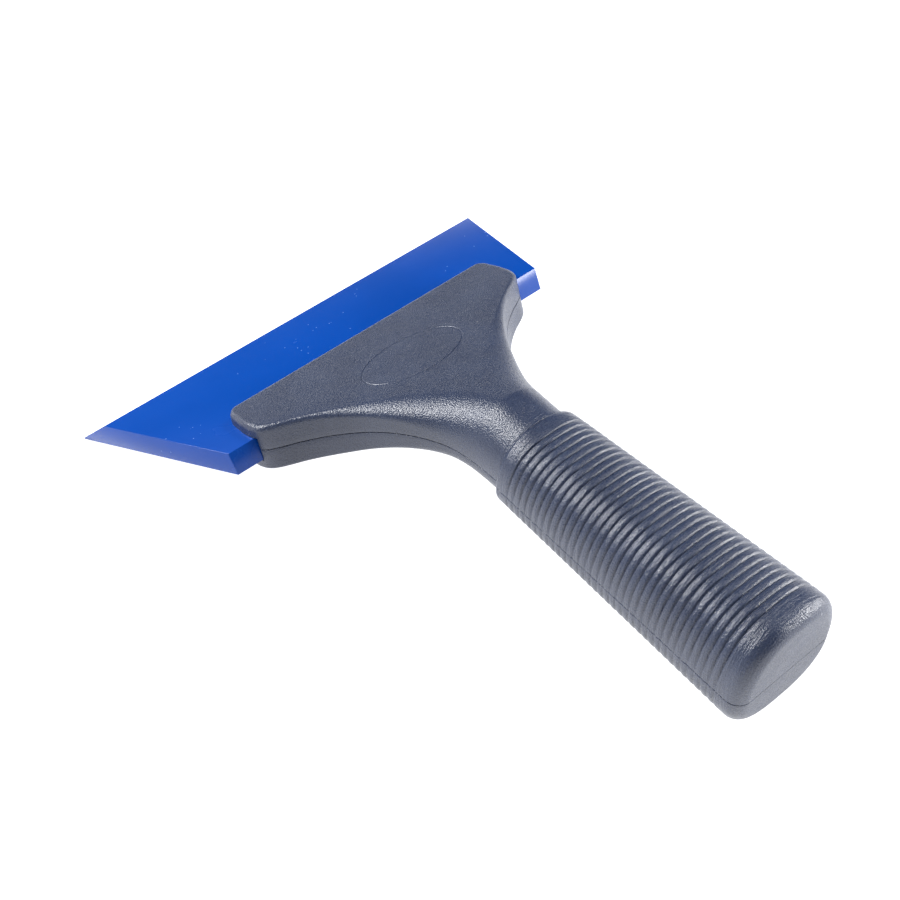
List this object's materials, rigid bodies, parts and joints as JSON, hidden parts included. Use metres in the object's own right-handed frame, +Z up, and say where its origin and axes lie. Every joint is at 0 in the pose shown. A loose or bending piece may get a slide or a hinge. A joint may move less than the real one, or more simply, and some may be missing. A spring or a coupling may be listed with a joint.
{
  "type": "squeegee applicator",
  "caption": "Hand squeegee with a bevelled trapezoid polyurethane blade clamped in a T-shaped two-shell plastic handle with a ribbed, bent-down grip.",
  "frame": {"origin": "middle of the tool's footprint, on the surface it lies on", "axes": "+Y from the blade's working edge towards the grip's end, +Z up from the surface, +X to the left of a user who holds the grip and looks towards the blade. The tool lies on its working edge and on the underside of the grip's end, so the blade's plane leans up by 14.8 degrees towards the handle."},
  "size_m": [0.15, 0.2072, 0.0395],
  "materials": {
    "blade": "smooth polyurethane",
    "handle_plastic": "fine moulded grain",
    "steel": "zinc plated",
    "brass": "machined"
  },
  "bodies": {
    "handle": {"upper_handle_shell": "handle_plastic", "lower_handle_shell": "handle_plastic", "clamp_washer_left": "steel", "clamp_washer_right": "steel", "captive_nut_left": "brass", "captive_nut_right": "brass", "neck_screw": "steel", "front_grip_screw": "steel", "rear_grip_screw": "steel"},
    "blade": {"squeegee_blade": "blade"},
    "left_screw": {"clamp_screw_left": "steel"},
    "right_screw": {"clamp_screw_right": "steel"}
  },
  "joints": [
    {"name": "blade_slide", "type": "slide", "parent": "handle", "child": "blade", "axis": [0, -0.9666, -0.2561], "range_m": [0, 0.013]},
    {"name": "left_screw_turn", "type": "hinge", "parent": "handle", "child": "left_screw", "pos_m": [0.028, -0.03704, 0.01452], "axis": [0, 0.2561, -0.9666], "range_deg": [0, 1080]},
    {"name": "right_screw_turn", "type": "hinge", "parent": "handle", "child": "right_screw", "pos_m": [-0.028, -0.03704, 0.01452], "axis": [0, 0.2561, -0.9666], "range_deg": [0, 1080]}
  ]
}
